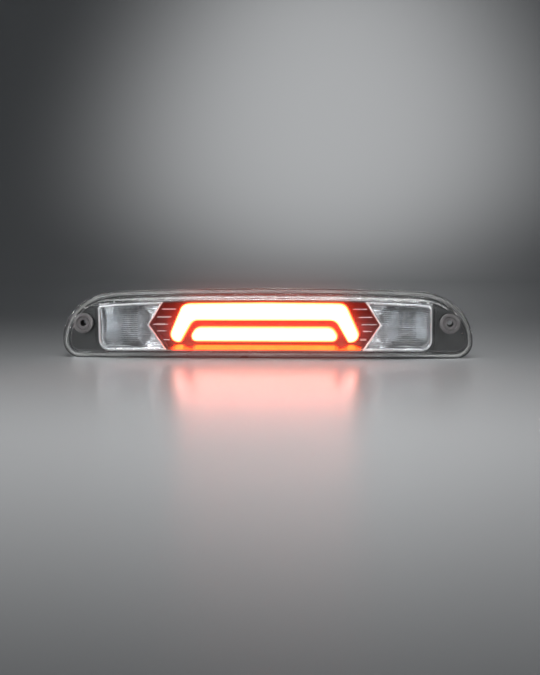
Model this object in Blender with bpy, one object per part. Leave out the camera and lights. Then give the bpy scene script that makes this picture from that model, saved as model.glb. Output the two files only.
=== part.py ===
"""Third brake light with two cargo lamps, for the back of a pickup cab.

Frame: the origin is on the cab's skin, midway between the two screw axes. +X is the lamp's
right-hand side seen from the front, the lens faces -Y, and +Z is up. All lengths are in
millimetres; the helpers turn them into metres. "front" and "back" are Y values.
"""

import math

import bmesh
import bpy
from mathutils import Matrix, Vector

MM = 0.001

# Outline of the whole lamp, seen from the front
HALF_WIDTH = 207.2
TOP_Z = 34.6
SHOULDER_X = 150.0
SHOULDER_TOP_Z = 31.7
SHOULDER_Z = -18.2
BOTTOM_Z = -36.2
CORNER_R = 17.0
ARC_STEPS = 10
TOP_STEPS = 8
CORNER_STEPS = 7
BOTTOM_STEPS = 2 * ARC_STEPS + TOP_STEPS - 2 * CORNER_STEPS

# Depths
GAP = 0.3
GASKET_THICK = 3.0
FLANGE_BACK = -GASKET_THICK - GAP
FLANGE_FRONT = -9.0
GROOVE_FLOOR = -5.0
TRAY_FLOOR = -6.3
LENS_FOOT = FLANGE_FRONT - GAP
LENS_FRONT = -32.0
LENS_WALL = 2.2
CROWN = 1.8

# Screw points
SCREW_X = 184.3
SCREW_HOLE_R = 3.1
SLEEVE_R = 4.6
NECK_R = 6.2
TURRET_R = 9.4
GROMMET_R = 10.1
GROMMET_FRONT = -19.6
PAD_FRONT = -14.0

# Wells in the lens round the screw points
WELL_X = 169.5
WELL_TOP_Z = 17.5
WELL_TOP_FALL = 0.19
WELL_INSET = 5.7
DOME_CORNER_R = 12.0
DOME_CORNER_Z = -16.2

# Rear can
CAN_HALF_X = 167.6
CAN_TOP_Z = 23.5
CAN_BOTTOM_Z = -27.0
CAN_R = 8.0
CAN_BACK = 24.0
WALL = 2.5

# Chevron that divides the centre panel from each cargo window
CHEVRON_TOP = (100.3, 22.6)
CHEVRON_TIP = (114.6, -0.3)
CHEVRON_BOTTOM = (97.2, -26.2)

# Centre panel and light bars
PANEL_FRONT = -18.0
PANEL_BACK = -16.0
TRIM_FRONT = -28.6
GUIDE_FRONT = -26.8
GUIDE_BACK = -13.0
BOARD_FRONT = -10.6
BOARD_BACK = -9.0
LED_SIZE = 5.0
LED_THICK = 1.5

# Fins beside the light bars: height and inner end
FINS = [
    (15.2, 88.9),
    (7.1, 94.0),
    (-0.3, 97.0),
    (-7.1, 98.5),
    (-16.0, 95.4),
]

# Cargo lamps
BULB_X = 142.0
BULB_Z = -2.0
BULB_R = 7.6
BULB_TIP = -13.0
BULB_BASE = 14.0
REFLECTOR_MOUTH = -25.2
REFLECTOR_BACK = 7.0
REFLECTOR_HOLE_R = 9.5
REFLECTOR_WALL = 1.5
SOCKET_HOLE_R = 10.9
SOCKET_NECK_R = 10.4
LUG_R = 13.0
LUG_COUNT = 3
UNLOCK_DEG = 45.0

# Brake feed connector and vent
CONNECTOR_X = 40.0
VENT_X = -40.0

SIDES = {"left": -1, "right": 1}

COLOURS = {
    "clear": ((0.86, 0.88, 0.9, 1.0), 0.05, 0.0),
    "black": ((0.02, 0.02, 0.022, 1.0), 0.35, 0.0),
    "panel": ((0.05, 0.012, 0.012, 1.0), 0.2, 0.0),
    "chrome": ((0.85, 0.85, 0.86, 1.0), 0.08, 1.0),
    "guide": ((0.95, 0.35, 0.28, 1.0), 0.3, 0.0),
    "board": ((0.03, 0.18, 0.07, 1.0), 0.5, 0.0),
    "led": ((0.85, 0.8, 0.6, 1.0), 0.4, 0.0),
    "rubber": ((0.1, 0.1, 0.1, 1.0), 0.8, 0.0),
    "grommet": ((0.16, 0.15, 0.16, 1.0), 0.7, 0.0),
    "steel": ((0.45, 0.45, 0.46, 1.0), 0.35, 1.0),
    "brass": ((0.75, 0.55, 0.25, 1.0), 0.3, 1.0),
    "socket": ((0.28, 0.28, 0.29, 1.0), 0.55, 0.0),
    "sealant": ((0.5, 0.5, 0.48, 1.0), 0.6, 0.0),
    "wire_red": ((0.6, 0.03, 0.03, 1.0), 0.5, 0.0),
    "wire_black": ((0.02, 0.02, 0.02, 1.0), 0.5, 0.0),
}


# ---------------------------------------------------------------- scene and helpers


def start_scene():
    for old in list(bpy.data.objects):
        bpy.data.objects.remove(old)
    made = []
    for name in ("third_brake_light", "cutters"):
        collection = bpy.data.collections.new(name)
        bpy.context.scene.collection.children.link(collection)
        made.append(collection)
    return made


PARTS, CUTTERS = start_scene()


def material(name):
    found = bpy.data.materials.get(name)
    if found:
        return found
    colour, roughness, metallic = COLOURS[name]
    made = bpy.data.materials.new(name)
    made.use_nodes = True
    shader = made.node_tree.nodes["Principled BSDF"]
    shader.inputs["Base Color"].default_value = colour
    shader.inputs["Roughness"].default_value = roughness
    shader.inputs["Metallic"].default_value = metallic
    return made


def place(mesh, name, finish=None):
    """A part when it has a finish, and a cutter or an addition to another part when it has none."""
    made = bpy.data.objects.new(name, mesh)
    if finish:
        mesh.materials.append(material(finish))
        PARTS.objects.link(made)
    else:
        made.hide_render = True
        made.display_type = "WIRE"
        CUTTERS.objects.link(made)
    return made


def from_bmesh(bm, name, finish=None):
    bmesh.ops.recalc_face_normals(bm, faces=bm.faces)
    mesh = bpy.data.meshes.new(name)
    bm.to_mesh(mesh)
    bm.free()
    return place(mesh, name, finish)


def combine(target, other, operation):
    modifier = target.modifiers.new(f"{operation.lower()}_{other.name}", "BOOLEAN")
    modifier.operation = operation
    modifier.solver = "EXACT"
    modifier.object = other


def cut(target, *others):
    for other in others:
        combine(target, other, "DIFFERENCE")


def add(target, *others):
    for other in others:
        combine(target, other, "UNION")


def smooth(target, degrees=35):
    target.data.shade_smooth()
    target.data.set_sharp_from_angle(angle=math.radians(degrees))
    return target


def wound(outline):
    """The outline's points, anticlockwise as seen from the front."""
    area = sum(outline[k - 1][0] * z - x * outline[k - 1][1] for k, (x, z) in enumerate(outline))
    return outline if area > 0 else outline[::-1]


def skin(bm, rings, closed=False):
    """Quads from each ring of points to the next, and from the last to the first when closed."""
    made = [[bm.verts.new(Vector(point) * MM) for point in ring] for ring in rings]
    count = len(made[0])
    for a, b in list(zip(made, made[1:])) + ([(made[-1], made[0])] if closed else []):
        for k in range(count):
            n = (k + 1) % count
            bm.faces.new((a[k], a[n], b[n], b[k]))
    return made


def plate(name, outlines, front, back, finish=None):
    """Flat outlines in X and Z, the second and later ones being holes, as a plate from front to back."""
    bm = bmesh.new()
    first = wound(outlines[0])
    for ring in skin(bm, [[(x, y, z) for x, z in first] for y in (front, back)]):
        bm.faces.new(ring)
    made = from_bmesh(bm, name, finish)
    for number, hole in enumerate(outlines[1:]):
        cut(made, plate(f"{name}_hole_{number}", [hole], front - 5, back + 5))
    return made


def tube(name, layers, finish=None):
    """A closed loop of (outline, y) layers, such as a frame or a skirt."""
    bm = bmesh.new()
    skin(bm, [[(x, y, z) for x, z in wound(outline)] for outline, y in layers], closed=True)
    return from_bmesh(bm, name, finish)


def cylinder(name, x, z, radius, front, back, finish=None, segments=32):
    bm = bmesh.new()
    turn = Matrix.Translation(Vector((x, (front + back) / 2, z)) * MM) @ Matrix.Rotation(math.radians(90), 4, "X")
    bmesh.ops.create_cone(
        bm,
        cap_ends=True,
        segments=segments,
        radius1=radius * MM,
        radius2=radius * MM,
        depth=abs(back - front) * MM,
        matrix=turn,
    )
    return from_bmesh(bm, name, finish)


def box(name, low, high, finish=None, turn=0.0, about=(0.0, 0.0)):
    """A box between two corners, turned in degrees about the Y axis through a point in X and Z."""
    bm = bmesh.new()
    bmesh.ops.create_cube(bm, size=1.0)
    size = [b - a for a, b in zip(low, high)]
    middle = [(a + b) / 2 for a, b in zip(low, high)]
    bmesh.ops.scale(bm, vec=Vector(size) * MM, verts=bm.verts)
    bmesh.ops.translate(bm, vec=Vector(middle) * MM, verts=bm.verts)
    centre = Vector((about[0], 0, about[1])) * MM
    rotation = Matrix.Rotation(math.radians(turn), 3, "Y")
    bmesh.ops.rotate(bm, cent=centre, matrix=rotation, verts=bm.verts)
    return from_bmesh(bm, name, finish)


def turned(name, x, z, profile, finish=None, steps=32):
    """A profile of (radius, y) points spun about the Y axis through x and z. A point on the axis closes it."""
    bm = bmesh.new()
    rings = []
    for radius, y in profile:
        if radius == 0:
            rings.append([bm.verts.new(Vector((x, y, z)) * MM)])
            continue
        ring = []
        for k in range(steps):
            angle = 2 * math.pi * k / steps
            spot = Vector((x + radius * math.cos(angle), y, z + radius * math.sin(angle)))
            ring.append(bm.verts.new(spot * MM))
        rings.append(ring)
    closed = profile[0][0] != 0
    pairs = list(zip(rings, rings[1:] + ([rings[0]] if closed else [])))
    for a, b in pairs if closed else pairs[: len(rings) - 1]:
        for k in range(steps):
            n = (k + 1) % steps
            corners = [a[k % len(a)], a[n % len(a)], b[n % len(b)], b[k % len(b)]]
            bm.faces.new(list(dict.fromkeys(corners)))
    return smooth(from_bmesh(bm, name, finish))


def set_pivot(x, z, *pieces):
    """Moves the pieces' origins onto an axis along Y, so that they turn about it."""
    spot = Vector((x, 0, z)) * MM
    for piece in pieces:
        piece.data.transform(Matrix.Translation(-spot))
        piece.location = spot


# ---------------------------------------------------------------- outlines


def lamp_outline(inset):
    """The lamp's outline, moved inwards: the top half from right to left, then the bottom half back."""
    half_width = HALF_WIDTH - SHOULDER_X - inset
    height = SHOULDER_TOP_Z - SHOULDER_Z - inset
    shoulder = []
    for k in range(ARC_STEPS):
        angle = math.pi / 2 * k / ARC_STEPS
        shoulder.append((SHOULDER_X + half_width * math.cos(angle), SHOULDER_Z + height * math.sin(angle)))
    top = []
    for k in range(TOP_STEPS + 1):
        x = SHOULDER_X * (1 - 2 * k / TOP_STEPS)
        drop = (TOP_Z - SHOULDER_TOP_Z) * (x / SHOULDER_X) ** 2
        top.append((x, TOP_Z - drop - inset))
    radius = CORNER_R - inset
    corner_x = HALF_WIDTH - CORNER_R
    corner_z = BOTTOM_Z + CORNER_R
    corner = []
    for k in range(CORNER_STEPS):
        angle = math.pi / 2 * k / CORNER_STEPS
        corner.append((-corner_x - radius * math.cos(angle), corner_z - radius * math.sin(angle)))
    bottom = []
    for k in range(BOTTOM_STEPS + 1):
        bottom.append((corner_x * (2 * k / BOTTOM_STEPS - 1), BOTTOM_Z + inset))
    mirrored = [(-x, z) for x, z in reversed(shoulder)]
    return shoulder + top + mirrored + corner + bottom + [(-x, z) for x, z in reversed(corner)]


def rounded(corners, steps=5):
    """The outline through (x, z, radius) corners, each rounded by an arc of its radius."""
    points = []
    count = len(corners)
    for k, (x, z, radius) in enumerate(corners):
        here = Vector((x, z))
        before = Vector(corners[k - 1][:2]) - here
        after = Vector(corners[(k + 1) % count][:2]) - here
        half = before.angle(after) / 2
        if radius <= 0 or half > math.radians(88):
            points.append((x, z))
            continue
        reach = radius / math.tan(half)
        start = here + before.normalized() * reach
        end = here + after.normalized() * reach
        centre = here + (before.normalized() + after.normalized()).normalized() * (radius / math.sin(half))
        a, b = start - centre, end - centre
        sweep = a.angle_signed(b)
        for j in range(steps + 1):
            turn = Matrix.Rotation(-sweep * j / steps, 2)
            points.append(tuple(centre + turn @ a))
    return points


def moved_in(corners, distance):
    """Corners of an outline whose sides are all moved inwards by a distance. The corners run clockwise."""
    sides = []
    count = len(corners)
    for k in range(count):
        a = Vector(corners[k][:2])
        b = Vector(corners[(k + 1) % count][:2])
        along = (b - a).normalized()
        inward = Vector((along.y, -along.x))
        sides.append((a + inward * distance, along))
    moved = []
    for k in range(count):
        p, u = sides[k - 1]
        q, v = sides[k]
        cross = u.x * v.y - u.y * v.x
        t = ((q - p).x * v.y - (q - p).y * v.x) / cross
        spot = p + u * t
        turns_in = cross > 0
        radius = corners[k][2]
        if radius > 0:
            radius = max(radius + (distance if turns_in else -distance), 0.3)
        moved.append((spot.x, spot.y, radius))
    return moved


def mirrored_outline(points, side):
    return [(side * x, z) for x, z in points]


def crowned(x, y):
    """How far a point is moved forwards by the bow of the lens's face."""
    if y > PAD_FRONT:
        return y
    return y - CROWN * (y - PAD_FRONT) / (LENS_FRONT - PAD_FRONT) * (1 - (x / HALF_WIDTH) ** 2)


def loft(name, rings, finish=None):
    """A closed body through (inset, y) rings of the lamp's outline, capped across from top to bottom."""
    bm = bmesh.new()
    made = skin(bm, [[(x, crowned(x, y), z) for x, z in lamp_outline(inset)] for inset, y in rings])
    count = len(made[0])
    for ring in (made[0], made[-1]):
        for k in range(count // 2 - 1):
            bm.faces.new((ring[k], ring[k + 1], ring[count - 2 - k], ring[count - 1 - k]))
    return smooth(from_bmesh(bm, name, finish))


def well_outline(side, grow):
    """The hollow round a screw point, grown by a wall's thickness."""
    inset = WELL_INSET - grow
    inner_x = WELL_X - grow
    ceiling = WELL_TOP_Z + grow
    edge = []
    for x, z in lamp_outline(inset):
        limit = ceiling - WELL_TOP_FALL * (x - WELL_X)
        if x > WELL_X - DOME_CORNER_R and z < limit and (x > inner_x or z < DOME_CORNER_Z):
            edge.append((x, z))
    # The outline runs anticlockwise from the right-hand end, so its last points lie under its first.
    above = [p for p in edge if p[1] > SHOULDER_Z - 1]
    below = [p for p in edge if p[1] <= SHOULDER_Z - 1]
    top_x = above[-1][0] - 1.0
    roof = (top_x, ceiling - WELL_TOP_FALL * (top_x - WELL_X))
    wall_top = (inner_x, ceiling + WELL_TOP_FALL * grow)
    corner_x = WELL_X - DOME_CORNER_R
    radius = DOME_CORNER_R - grow
    arc = []
    for k in range(7):
        angle = math.pi / 2 * k / 6
        arc.append((corner_x + radius * math.cos(angle), DOME_CORNER_Z - radius * math.sin(angle)))
    foot = (corner_x, BOTTOM_Z + inset)
    points = below + above + [roof, wall_top] + arc + [foot]
    return mirrored_outline(points, side)


def can_outline(grow):
    corners = [
        (-CAN_HALF_X, CAN_TOP_Z, CAN_R),
        (CAN_HALF_X, CAN_TOP_Z, CAN_R),
        (CAN_HALF_X, CAN_BOTTOM_Z, CAN_R),
        (-CAN_HALF_X, CAN_BOTTOM_Z, CAN_R),
    ]
    return rounded(moved_in(corners, -grow), 6)


def circle(x, z, radius, segments=32):
    return [
        (x + radius * math.cos(2 * math.pi * k / segments), z + radius * math.sin(2 * math.pi * k / segments))
        for k in range(segments)
    ]


def window_corners():
    """The right-hand cargo window: its chevron side is on the left."""
    end_x = 166.8
    return [
        (CHEVRON_TOP[0] + 0.5, CHEVRON_TOP[1], 0.6),
        (SHOULDER_X, 20.4, 30.0),
        (end_x, 18.6, 5.0),
        (end_x, CHEVRON_BOTTOM[1], 11.5),
        (CHEVRON_BOTTOM[0] + 0.5, CHEVRON_BOTTOM[1], 0.6),
        (CHEVRON_TIP[0] + 0.5, CHEVRON_TIP[1], 0.0),
    ]


def panel_corners(bottom_z):
    top_x, top_z = CHEVRON_TOP
    low_x = CHEVRON_BOTTOM[0]
    return [
        (-top_x, top_z, 0.0),
        (0, TOP_Z - 11.2, 0.0),
        (top_x, top_z, 0.0),
        (CHEVRON_TIP[0], CHEVRON_TIP[1], 0.0),
        (low_x, bottom_z, 0.0),
        (-low_x, bottom_z, 0.0),
        (-CHEVRON_TIP[0], CHEVRON_TIP[1], 0.0),
    ]


def outer_guide_corners():
    return [
        (-81.3, 21.4, 10.0),
        (0, 22.2, 0.0),
        (81.3, 21.4, 10.0),
        (98.6, -18.5, 8.0),
        (83.6, -18.5, 2.5),
        (71.3, 3.6, 9.0),
        (-71.3, 3.6, 9.0),
        (-83.6, -18.5, 2.5),
        (-98.6, -18.5, 8.0),
    ]


def inner_guide_corners():
    return [(-68.5, -2.5, 9.0), (68.5, -2.5, 9.0), (77.3, -17.8, 5.5), (-77.3, -17.8, 5.5)]


# ---------------------------------------------------------------- lens, seal and housing


def outer_lens():
    face = [(10.2, LENS_FRONT), (8.8, -31.8), (7.8, -31.0), (7.4, -29.8)]
    rim = [(6.3, -13.9), (5.6, -13.2), (3.0, -13.2), (2.6, -11.7), (0.5, -11.7), (0.0, -11.2), (0.0, LENS_FOOT)]
    tongue = [(2.2, LENS_FOOT), (2.2, -6.4), (4.4, -6.4), (4.4, LENS_FOOT)]
    hollow = [(8.2, LENS_FOOT), (8.2, -13.4), (9.4, -28.0), (9.8, -29.3), (11.2, LENS_FRONT + LENS_WALL)]
    lens = loft("outer_lens", face + rim + tongue + hollow, "clear")
    for name, side in SIDES.items():
        lining = plate(f"{name}_well_lining", [well_outline(side, LENS_WALL)], -60, PAD_FRONT + LENS_WALL)
        combine(lining, loft(f"{name}_lining_limit", [(8.4, -31.0), (6.9, -14.2), (6.9, -5)]), "INTERSECT")
        add(lens, lining)
        cut(lens, plate(f"{name}_well_cutter", [well_outline(side, 0.0)], -60, PAD_FRONT))
        x = side * SCREW_X
        add(lens, cylinder(f"{name}_turret", x, 0, TURRET_R, -16.3, PAD_FRONT + 1))
        cut(lens, cylinder(f"{name}_turret_hole", x, 0, NECK_R + GAP, -20, -8))
    return lens


def lens_sealant():
    wide, narrow = lamp_outline(1.9), lamp_outline(4.7)
    back = GROOVE_FLOOR - GAP
    return tube("lens_sealant", [(wide, -6.1), (wide, back), (narrow, back), (narrow, -6.1)], "sealant")


def rear_housing():
    groove = [(1.6, FLANGE_FRONT), (1.6, GROOVE_FLOOR), (5.0, GROOVE_FLOOR), (5.0, FLANGE_FRONT)]
    flange = [(0.0, FLANGE_BACK), (0.0, FLANGE_FRONT), *groove, (6.4, FLANGE_FRONT), (6.4, TRAY_FLOOR)]
    housing = loft("rear_housing", flange, "black")
    add(housing, plate("can_block", [can_outline(0)], TRAY_FLOOR + 0.5, CAN_BACK))
    cut(housing, plate("can_cutter", [can_outline(-WALL)], -20, CAN_BACK - WALL))
    for name, side in SIDES.items():
        x = side * SCREW_X
        add(housing, cylinder(f"{name}_boss", x, 0, 7.7, -11.4, TRAY_FLOOR + 1))
        cut(housing, cylinder(f"{name}_boss_hole", x, 0, NECK_R + GAP, -20, 5))
        cut_socket_hole(housing, name, side * BULB_X)
    for number, (x, z) in enumerate(board_screw_places()):
        add(housing, cylinder(f"post_{number}", x, z, 3.6, BOARD_BACK + GAP, CAN_BACK - 1, segments=20))
        cut(housing, cylinder(f"pilot_{number}", x, z, 1.7, -20, 2.0, segments=16))
    opening = box("connector_cutter", (CONNECTOR_X - 11, 15, -6), (CONNECTOR_X + 11, 30, 6))
    cut(housing, opening, cylinder("vent_hole", VENT_X, 0, 3.6, 15, 30, segments=20))
    for number, x in enumerate((-100, -70, 70, 100)):
        add(housing, box(f"rib_{number}", (x - 1, CAN_BACK - 1, -20), (x + 1, CAN_BACK + 2, 18)))
    return housing


def cut_socket_hole(housing, name, x):
    """The keyed hole that a bulb socket's lugs pass through when the socket is turned to its unlocked place."""
    keyed = cylinder(f"{name}_socket_hole", x, BULB_Z, SOCKET_HOLE_R, 15, 30)
    cut(housing, keyed)
    for k in range(LUG_COUNT):
        key = box(
            f"{name}_key_{k}",
            (x + 8, 15, BULB_Z - 3.6),
            (x + LUG_R + 0.5, 30, BULB_Z + 3.6),
            turn=UNLOCK_DEG + 360 / LUG_COUNT * k,
            about=(x, BULB_Z),
        )
        cut(housing, key)


def mounting_gasket():
    holes = [circle(side * SCREW_X, 0, SLEEVE_R + 0.6) for side in SIDES.values()]
    outlines = [lamp_outline(1.5), can_outline(1.2), *holes]
    return plate("mounting_gasket", outlines, -GASKET_THICK, 0, "rubber")


def screw_point(name, side):
    """A rubber grommet in the lens's turret, and the steel sleeve that the mounting screw pulls on."""
    x = side * SCREW_X
    grommet = [
        (6.5, GROMMET_FRONT),
        (GROMMET_R - 0.6, GROMMET_FRONT),
        (GROMMET_R, GROMMET_FRONT + 0.6),
        (GROMMET_R, -16.6),
        (NECK_R, -16.6),
        (NECK_R, -3.6),
        (SLEEVE_R + GAP, -3.6),
        (SLEEVE_R + GAP, -17.6),
        (6.6, -17.6),
    ]
    sleeve = [
        (SCREW_HOLE_R, -19.2),
        (6.2, -19.2),
        (6.2, -17.9),
        (SLEEVE_R, -17.9),
        (SLEEVE_R, 0.0),
        (SCREW_HOLE_R, 0.0),
    ]
    turned(f"{name}_screw_grommet", x, 0, grommet, "grommet")
    turned(f"{name}_screw_sleeve", x, 0, sleeve, "steel")


# ---------------------------------------------------------------- trim and light guides


def bezel_outline(inset):
    end_x = 166.8 - max(0.0, inset - 9.0) * 0.1
    top = [(-end_x, 29.1), (-110, 33.0), (0, TOP_Z), (110, 33.0), (end_x, 29.1)]
    corners = [(x, z - inset, 0.0) for x, z in top]
    low_z = BOTTOM_Z + inset
    foot = [(end_x, -25.5, 9.3), (157.2, -25.5, 0.0), (156.8, low_z, 0.0)]
    return rounded(corners + foot + [(-x, z, radius) for x, z, radius in reversed(foot)])


def inner_bezel():
    """The dark skirt that lines the lens's slope, round the centre panel and both windows."""
    layers = [(9.0, -11.0), (9.2, -14.0), (10.1, -24.0)]
    rings = [(bezel_outline(inset), y) for inset, y in layers]
    rings += [(narrowed(bezel_outline(inset), 1.0), y) for inset, y in layers[::-1]]
    return tube("inner_bezel", rings, "black")


def narrowed(outline, wall):
    """An outline brought towards the middle by a wall's thickness, both across and up and down."""
    middle_z = (TOP_Z + BOTTOM_Z) / 2
    wide = max(x for x, _ in outline)
    high = max(abs(z - middle_z) for _, z in outline)
    return [(x * (1 - wall / wide), middle_z + (z - middle_z) * (1 - wall / high)) for x, z in outline]


def light_bar_tray():
    """The dark panel behind the light bars, with its mirror-like shelf below and a wall at each chevron."""
    panel = rounded(moved_in(panel_corners(-21.6), 0.4))
    tray = plate("light_bar_tray", [panel], PANEL_FRONT, PANEL_BACK, "panel")
    add(tray, shelf(), *chevron_walls())
    slots = (("outer", outer_guide_corners()), ("inner", inner_guide_corners()))
    for name, corners in slots:
        cut(tray, plate(f"{name}_guide_slot", [rounded(moved_in(corners, -GAP))], -40, 0))
    return tray


def shelf():
    """A sloping wedge across the panel's foot, narrowing forwards."""
    profile = [
        (TRIM_FRONT, -26.1),
        (TRIM_FRONT, -25.5),
        (PANEL_FRONT, -20.2),
        (PANEL_BACK - 0.4, -20.2),
        (PANEL_BACK - 0.4, -21.6),
        (-24.7, -24.6),
        (-24.7, -26.1),
    ]
    bm = bmesh.new()
    ends = []
    for side in (-1, 1):
        ends.append([bm.verts.new(Vector((side * chevron_x(z, 0.9), y, z)) * MM) for y, z in profile])
    count = len(profile)
    for k in range(count):
        n = (k + 1) % count
        bm.faces.new((ends[0][k], ends[0][n], ends[1][n], ends[1][k]))
    bm.faces.new(ends[0])
    bm.faces.new(ends[1])
    return from_bmesh(bm, "shelf")


def chevron_x(z, margin):
    """Where the chevron's line is at a height, moved towards the middle by a margin."""
    (ax, az), (bx, bz) = (CHEVRON_TIP, CHEVRON_TOP) if z > CHEVRON_TIP[1] else (CHEVRON_TIP, CHEVRON_BOTTOM)
    return ax + (bx - ax) * (z - az) / (bz - az) - margin


def chevron_walls():
    walls = []
    for name, side in SIDES.items():
        low, high = -24.2, 21.0
        outer = [(chevron_x(z, 0.5), z) for z in (low, CHEVRON_TIP[1], high)]
        inner = [(chevron_x(z, 1.7), z) for z in (high, CHEVRON_TIP[1], low)]
        outline = mirrored_outline(outer + inner, side)
        walls.append(plate(f"{name}_chevron_wall", [outline], -26.2, PANEL_BACK - 0.5))
    return walls


def fin_comb(name, side):
    """Five bright fins on one thin back strip that stands on the panel."""
    strip = [(chevron_x(z, 2.6), z) for z in (-17.4, CHEVRON_TIP[1], 17.0)]
    strip += [(chevron_x(z, 4.4), z) for z in (17.0, CHEVRON_TIP[1], -17.4)]
    back = PANEL_FRONT - GAP
    comb = plate(f"{name}_fin_comb", [mirrored_outline(strip, side)], back - 1.2, back, "chrome")
    for number, (z, near) in enumerate(FINS):
        far = chevron_x(z, 2.4)
        low, high = sorted((side * near, side * far))
        add(comb, box(f"{name}_fin_{number}", (low, -25.6, z - 0.45), (high, back - 0.4, z + 0.45)))
    return comb


def light_guide(name, corners):
    return plate(name, [rounded(corners, 6)], GUIDE_FRONT, GUIDE_BACK, "guide")


def window(name, side):
    """A bright frame round each cargo window, and the clear fluted lens that it holds."""
    corners = window_corners()
    rim = mirrored_outline(rounded(corners), side)
    opening = mirrored_outline(rounded(moved_in(corners, 2.0)), side)
    plate(f"{name}_window_frame", [rim, opening], -29.0, -26.7, "chrome")
    pane = mirrored_outline(rounded(moved_in(corners, 2.0 + GAP)), side)
    plate(f"{name}_cargo_lens", [pane], -28.4, -26.0, "clear")


def reflector(name, side):
    """A parabolic bowl cut off square by the window's walls, with a hole for the bulb."""
    mouth = rounded(moved_in(window_corners(), 1.9))
    segments = 36
    levels = 6
    bm = bmesh.new()
    skins = []
    for wall in (0.0, REFLECTOR_WALL):
        rings = []
        for j in range(levels):
            share = j / (levels - 1)
            y = REFLECTOR_BACK + (REFLECTOR_MOUTH - REFLECTOR_BACK) * share**1.6
            bowl_r = bowl_radius(y)
            ring = []
            for k in range(segments):
                angle = 2 * math.pi * k / segments
                reach = min(bowl_r, ray_length(mouth, angle) - REFLECTOR_WALL - 0.3) + wall
                x = BULB_X + reach * math.cos(angle)
                z = BULB_Z + reach * math.sin(angle)
                ring.append(bm.verts.new(Vector((side * x, y, z)) * MM))
            rings.append(ring)
        skins.append(rings)
    inner, outer = skins
    loop = inner + outer[::-1]
    for a, b in zip(loop, loop[1:] + loop[:1]):
        for k in range(segments):
            n = (k + 1) % segments
            bm.faces.new((a[k], a[n], b[n], b[k]))
    smooth(from_bmesh(bm, f"{name}_cargo_reflector", "chrome"), 50)


def bowl_radius(y):
    """The parabola through the bulb hole's edge that reaches the window's end at the mouth."""
    mouth_r = 30.0
    share = (REFLECTOR_BACK - y) / (REFLECTOR_BACK - REFLECTOR_MOUTH)
    return math.sqrt(REFLECTOR_HOLE_R**2 + (mouth_r**2 - REFLECTOR_HOLE_R**2) * share)


def ray_length(outline, angle):
    """How far it is from the bulb's axis to an outline, at an angle."""
    direction = Vector((math.cos(angle), math.sin(angle)))
    centre = Vector((BULB_X, BULB_Z))
    nearest = math.inf
    for k, (x, z) in enumerate(outline):
        a = Vector(outline[k - 1]) - centre
        edge = Vector((x, z)) - centre - a
        cross = direction.x * edge.y - direction.y * edge.x
        if abs(cross) < 1e-9:
            continue
        reach = (a.x * edge.y - a.y * edge.x) / cross
        along = (a.x * direction.y - a.y * direction.x) / cross
        if reach > 0 and -1e-6 <= along <= 1 + 1e-6:
            nearest = min(nearest, reach)
    return nearest


# ---------------------------------------------------------------- brake light electronics


def board_screw_places():
    return [(-91.5, 14.0), (91.5, 14.0), (-20.0, 0.5), (20.0, 0.5)]


def led_places():
    outer = [(x, 12.0) for x in range(-70, 71, 20)] + [(-87.5, -8.0), (87.5, -8.0)]
    inner = [(x, -10.8) for x in range(-50, 51, 20)]
    return outer + inner


def led_board():
    corners = [(-97, 18.5, 2.0), (97, 18.5, 2.0), (97, -20.5, 2.0), (-97, -20.5, 2.0)]
    holes = [circle(x, z, 1.9, 16) for x, z in board_screw_places()]
    plate("brake_led_board", [rounded(corners, 3), *holes], BOARD_FRONT, BOARD_BACK, "board")


def leds():
    back = BOARD_FRONT - GAP
    half = LED_SIZE / 2
    for number, (x, z) in enumerate(led_places(), 1):
        name = f"brake_led_{number:02d}"
        package = box(name, (x - half, back - LED_THICK, z - half), (x + half, back, z + half), "led")
        cup = turned(f"{name}_cup", x, z, [(0, back - 1.0), (1.7, back - 1.0), (2.1, back - 3), (0, back - 3)], steps=8)
        cut(package, cup)


def board_fittings():
    front = BOARD_BACK + GAP
    box("driver_chip", (-4.5, front, -11.5), (4.5, front + 1.6, -2.5), "rubber")
    turned(
        "input_capacitor",
        14.0,
        8.0,
        [(0, front), (4.0, front), (4.0, front + 8.4), (3.4, front + 9.0), (0, front + 9.0)],
        "chrome",
        steps=20,
    )
    for number, (x, z) in enumerate(board_screw_places(), 1):
        head = BOARD_FRONT - GAP
        profile = [(0, head - 1.5), (2.2, head - 1.5), (2.8, head - 0.6), (2.8, head), (1.4, head), (1.4, 1.0), (0, 1.6)]
        screw = turned(f"board_screw_{number}", x, z, profile, "steel", steps=12)
        for k in range(2):
            slot = box(f"screw_{number}_slot_{k}", (x - 1.6, -20, z - 0.35), (x + 1.6, head - 0.7, z + 0.35), turn=90 * k, about=(x, z))
            cut(screw, slot)


def feed_connector():
    """The sealed inlet for the brake feed: a shroud through the back wall, with two pins."""
    x = CONNECTOR_X
    shell = box("feed_connector", (x - 10.7, 12, -5.7), (x + 10.7, 37, 5.7), "socket")
    flange = box("connector_flange", (x - 13.5, CAN_BACK + GAP, -8.5), (x + 13.5, CAN_BACK + 2.3, 8.5))
    latch = box("connector_latch", (x - 3, CAN_BACK + 4, 5), (x + 3, 34, 7.2))
    add(shell, flange, latch)
    cut(shell, box("connector_cavity", (x - 9.2, 27, -4.2), (x + 9.2, 45, 4.2)))
    for number, offset in enumerate((-5.0, 5.0), 1):
        cut(shell, box(f"pin_slot_{number}", (x + offset - 1.1, 0, -1.1), (x + offset + 1.1, 45, 1.1)))
        box(f"connector_pin_{number}", (x + offset - 0.8, 9, -0.8), (x + offset + 0.8, 35, 0.8), "brass")


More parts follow.
